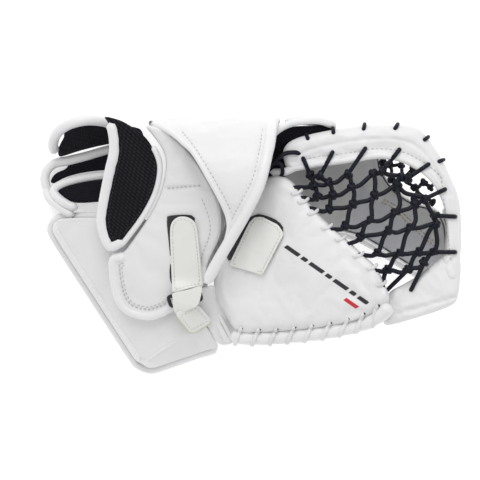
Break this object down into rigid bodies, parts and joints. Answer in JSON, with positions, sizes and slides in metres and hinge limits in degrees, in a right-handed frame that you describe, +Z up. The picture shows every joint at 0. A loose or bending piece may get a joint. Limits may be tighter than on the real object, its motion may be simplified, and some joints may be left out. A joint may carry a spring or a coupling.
{
  "type": "goalie catch glove",
  "caption": "White padded ice hockey catch glove with a laced black web pocket, wide cuff board, backhand shell and closing straps.",
  "frame": {"origin": "centre of the glove's footprint, on the floor it lies on", "axes": "+Z up, +X towards the finger tips and web, +Y towards the back of the hand"},
  "size_m": [0.3381, 0.2101, 0.1239],
  "materials": {
    "white_leather": "smooth synthetic leather, softly satin",
    "strap_leather": "satin strap leather with a stitched edge",
    "black_lining": "brushed lining cloth",
    "black_mesh": "ribbed mesh over foam",
    "black_lace": "round braided skate lace",
    "white_lace": "flat rawhide whip lace",
    "hook_patch": "hook and loop tape",
    "black_plastic": "moulded",
    "stiffener_sheet": "sheet",
    "foam": "closed-cell foam"
  },
  "bodies": {
    "hand": {"finger_back": "white_leather", "stall_floor": "black_lining", "stall_walls": "black_lining", "stall_roof": "black_lining", "finger_stiffener": "stiffener_sheet", "finger_palm": "white_leather", "upper_wall": "white_leather", "side_wall": "white_leather", "palm_pad": "white_leather", "knuckle_pad": "white_leather", "knuckle_lining": "black_lining", "rim_band": "white_leather", "rim_tip_panel": "white_leather", "rim_lace": "black_lace", "web_net": "black_lace", "far_web": "black_lace"},
    "thumb": {"thumb_palm": "white_leather", "thumb_stiffener": "stiffener_sheet", "thumb_foam": "foam", "thumb_panel": "white_leather", "thumb_roll": "white_leather", "thumb_lace": "white_lace", "heel_roll": "white_leather", "hand_strap_patch": "hook_patch"},
    "hand_strap": {"hand_strap": "strap_leather"},
    "shell": {"backhand_shell": "white_leather", "shell_binding": "white_leather", "shell_lining": "black_lining"},
    "cuff": {"cuff_back": "white_leather", "cuff_stiffener": "stiffener_sheet", "cuff_foam": "foam", "cuff_face": "white_leather", "cuff_binding": "white_leather", "wrist_wrap": "white_leather", "wrap_binding": "white_leather", "mesh_lip": "black_mesh", "lip_binding": "white_leather", "lobe_lower": "black_lining", "lobe_middle": "black_lining", "lobe_upper": "black_lining", "lobe_binding": "white_leather", "wrist_strap_patch": "hook_patch", "strap_anchor": "strap_leather"},
    "wrist_strap": {"wrist_strap": "strap_leather"},
    "ring": {"strap_ring": "black_plastic"}
  },
  "joints": [
    {"name": "pocket_close", "type": "hinge", "parent": "hand", "child": "thumb", "pos_m": [-0.031, -0.038, 0.052], "axis": [0.5248, 0.8041, 0.2793], "range_deg": [-6, 16], "deforming": ["web_net", "rim_tip_panel"]},
    {"name": "wrist_flex", "type": "hinge", "parent": "hand", "child": "cuff", "pos_m": [-0.046, -0.042, 0.035], "axis": [-0.4108, 0.9117, 0], "range_deg": [-6, 9]},
    {"name": "backhand_lift", "type": "hinge", "parent": "hand", "child": "shell", "pos_m": [0, 0.098, 0.01], "axis": [-1, 0, 0], "range_deg": [0, 12]},
    {"name": "hand_strap_peel", "type": "hinge", "parent": "thumb", "child": "hand_strap", "pos_m": [-0.003, -0.02, 0.0824], "axis": [0.9065, -0.2687, 0.3255], "range_deg": [0, 100]},
    {"name": "wrist_strap_peel", "type": "hinge", "parent": "cuff", "child": "wrist_strap", "pos_m": [-0.048, -0.0325, 0.0692], "axis": [0.916, 0.2389, 0.3224], "range_deg": [0, 85]},
    {"name": "ring_swivel", "type": "hinge", "parent": "cuff", "child": "ring", "pos_m": [-0.048, -0.0475, 0.0725], "axis": [0.929, 0.1731, 0.327], "range_deg": [0, 25]}
  ]
}
